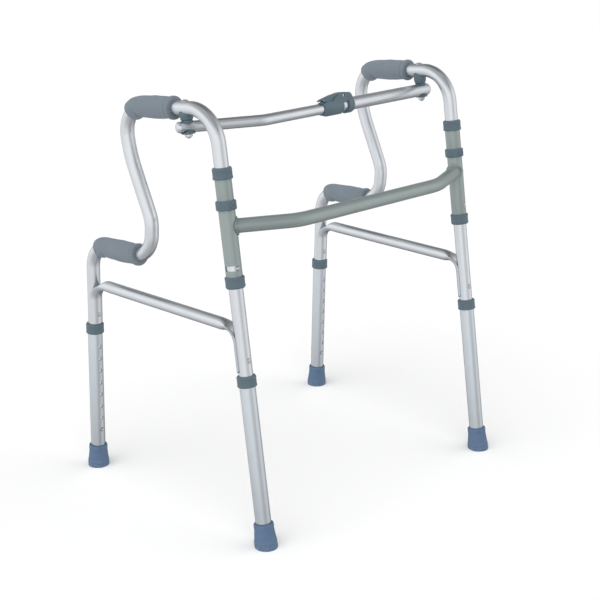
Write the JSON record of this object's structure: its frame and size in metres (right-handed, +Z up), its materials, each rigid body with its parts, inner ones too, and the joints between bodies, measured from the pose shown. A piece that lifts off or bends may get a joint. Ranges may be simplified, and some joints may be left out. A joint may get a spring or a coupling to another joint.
{
  "type": "folding walking frame",
  "caption": "Folding walking frame with high and low foam handles on each side, a bowed front cross tube, a telescoping top bar with a catch, and height-adjustable legs.",
  "frame": {"origin": "on the floor under the middle of the bounding box", "axes": "+Z up, -Y towards the front of the frame (away from the user), +X towards the user's left"},
  "size_m": [0.6658, 0.5294, 0.7807],
  "materials": {
    "anodised_tube": "satin anodised",
    "grey_paint": "smooth green-grey paint",
    "grey_plastic": "satin moulded plastic",
    "tip_rubber": "moulded rubber",
    "foam": "closed-cell foam",
    "steel": "zinc plated"
  },
  "bodies": {
    "front_assembly": {"front_cross_tube": "grey_paint", "lower_sleeve_left": "grey_paint", "upper_sleeve_left": "grey_paint", "bottom_collar_left": "grey_plastic", "mid_collar_left": "grey_plastic", "top_collar_left": "grey_plastic", "lower_sleeve_right": "grey_paint", "upper_sleeve_right": "grey_paint", "bottom_collar_right": "grey_plastic", "mid_collar_right": "grey_plastic", "top_collar_right": "grey_plastic"},
    "side_left": {"side_frame_left": "anodised_tube", "side_brace_left": "anodised_tube", "high_grip_left": "foam", "low_grip_left": "foam", "brace_rivet_front_left": "anodised_tube", "brace_rivet_rear_left": "anodised_tube", "fold_pin_left": "steel", "pivot_spacer_left": "grey_plastic"},
    "leg_front_left": {"leg_extension_front_left": "anodised_tube", "leg_collar_front_left": "grey_plastic", "rubber_tip_front_left": "tip_rubber"},
    "button_front_left": {"snap_button_front_left": "steel"},
    "leg_rear_left": {"leg_extension_rear_left": "anodised_tube", "leg_collar_rear_left": "grey_plastic", "rubber_tip_rear_left": "tip_rubber"},
    "button_rear_left": {"snap_button_rear_left": "steel"},
    "side_right": {"side_frame_right": "anodised_tube", "side_brace_right": "anodised_tube", "high_grip_right": "foam", "low_grip_right": "foam", "brace_rivet_front_right": "anodised_tube", "brace_rivet_rear_right": "anodised_tube", "fold_pin_right": "steel", "pivot_spacer_right": "grey_plastic", "pivot_bolt_right": "steel"},
    "leg_front_right": {"leg_extension_front_right": "anodised_tube", "leg_collar_front_right": "grey_plastic", "rubber_tip_front_right": "tip_rubber"},
    "button_front_right": {"snap_button_front_right": "steel"},
    "leg_rear_right": {"leg_extension_rear_right": "anodised_tube", "leg_collar_rear_right": "grey_plastic", "rubber_tip_rear_right": "tip_rubber"},
    "button_rear_right": {"snap_button_rear_right": "steel"},
    "bar_pivot_left": {"pivot_bolt_left": "steel", "pivot_nut_left": "steel"},
    "bar_outer": {"bar_outer_tube": "anodised_tube", "saddle_washer_upper_left": "grey_plastic", "saddle_washer_lower_left": "grey_plastic", "bar_catch_housing": "grey_plastic", "bar_catch_pin": "steel"},
    "catch_lever": {"bar_catch_lever": "grey_plastic"},
    "bar_bush": {"bar_guide_bush": "grey_plastic"},
    "bar_inner": {"bar_inner_tube": "anodised_tube", "pivot_stud_right": "steel", "saddle_washer_upper_right": "grey_plastic", "saddle_washer_lower_right": "grey_plastic", "pivot_nut_right": "steel"}
  },
  "joints": [
    {"name": "fold_left", "type": "hinge", "parent": "front_assembly", "child": "side_left", "pos_m": [0.301, -0.15387, 0.59321], "axis": [0, 0.1501, 0.9887], "range_deg": [0, 70]},
    {"name": "leg_slide_front_left", "type": "slide", "parent": "side_left", "child": "leg_front_left", "axis": [0, -0.1501, -0.9887], "range_m": [0, 0.1778], "deforming": ["snap_button_front_left"]},
    {"name": "button_press_front_left", "type": "slide", "parent": "side_left", "child": "button_front_left", "axis": [-0.0227, -0.9884, 0.15], "range_m": [0, 0.004], "stiffness_N_per_m": 300, "springref_m": -0.004},
    {"name": "leg_slide_rear_left", "type": "slide", "parent": "side_left", "child": "leg_rear_left", "axis": [0.0041, 0.0312, -0.9995], "range_m": [0, 0.1778], "deforming": ["snap_button_rear_left"]},
    {"name": "button_press_rear_left", "type": "slide", "parent": "side_left", "child": "button_rear_left", "axis": [0.0223, 0.9993, 0.0313], "range_m": [0, 0.004], "stiffness_N_per_m": 300, "springref_m": -0.004},
    {"name": "fold_right", "type": "hinge", "parent": "front_assembly", "child": "side_right", "pos_m": [-0.301, -0.15387, 0.59321], "axis": [0, -0.1501, -0.9887], "range_deg": [0, 86]},
    {"name": "leg_slide_front_right", "type": "slide", "parent": "side_right", "child": "leg_front_right", "axis": [0, -0.1501, -0.9887], "range_m": [0, 0.1778], "deforming": ["snap_button_front_right"]},
    {"name": "button_press_front_right", "type": "slide", "parent": "side_right", "child": "button_front_right", "axis": [0.0227, -0.9884, 0.15], "range_m": [0, 0.004], "stiffness_N_per_m": 300, "springref_m": -0.004},
    {"name": "leg_slide_rear_right", "type": "slide", "parent": "side_right", "child": "leg_rear_right", "axis": [-0.0041, 0.0312, -0.9995], "range_m": [0, 0.1778], "deforming": ["snap_button_rear_right"]},
    {"name": "button_press_rear_right", "type": "slide", "parent": "side_right", "child": "button_rear_right", "axis": [-0.0223, 0.9993, 0.0313], "range_m": [0, 0.004], "stiffness_N_per_m": 300, "springref_m": -0.004},
    {"name": "bar_pivot", "type": "hinge", "parent": "side_left", "child": "bar_pivot_left", "pos_m": [0.3027, -0.05813, 0.72432], "axis": [0, 0.1501, 0.9887], "range_deg": [-75, 0]},
    {"name": "bar_swing", "type": "hinge", "parent": "bar_pivot_left", "child": "bar_outer", "pos_m": [0.3027, -0.05813, 0.72432], "axis": [0, 0.1501, 0.9887], "range_deg": [0, 8.16]},
    {"name": "bar_bush_slide", "type": "slide", "parent": "bar_outer", "child": "bar_bush", "axis": [0.9967, 0.0808, -0.0123], "range_m": [0, 0.07]},
    {"name": "bar_telescope", "type": "slide", "parent": "bar_bush", "child": "bar_inner", "axis": [0.9967, 0.0808, -0.0123], "range_m": [0, 0.0726]},
    {"name": "catch_lever_lift", "type": "hinge", "parent": "bar_outer", "child": "catch_lever", "pos_m": [0.04856, -0.07588, 0.74624], "axis": [-0.0817, 0.9854, -0.1496], "range_deg": [0, 20], "stiffness_Nm_per_rad": 0.05, "springref_deg": -17.19}
  ],
  "couplings": [
    {"joint": "bar_pivot", "follows": "fold_left", "ratio": -1.0643},
    {"joint": "bar_bush_slide", "follows": "fold_left", "m_per_rad": 0.05706},
    {"joint": "bar_swing", "follows": "fold_right", "ratio": 0.092615},
    {"joint": "bar_telescope", "follows": "fold_right", "m_per_rad": 0.048166}
  ]
}
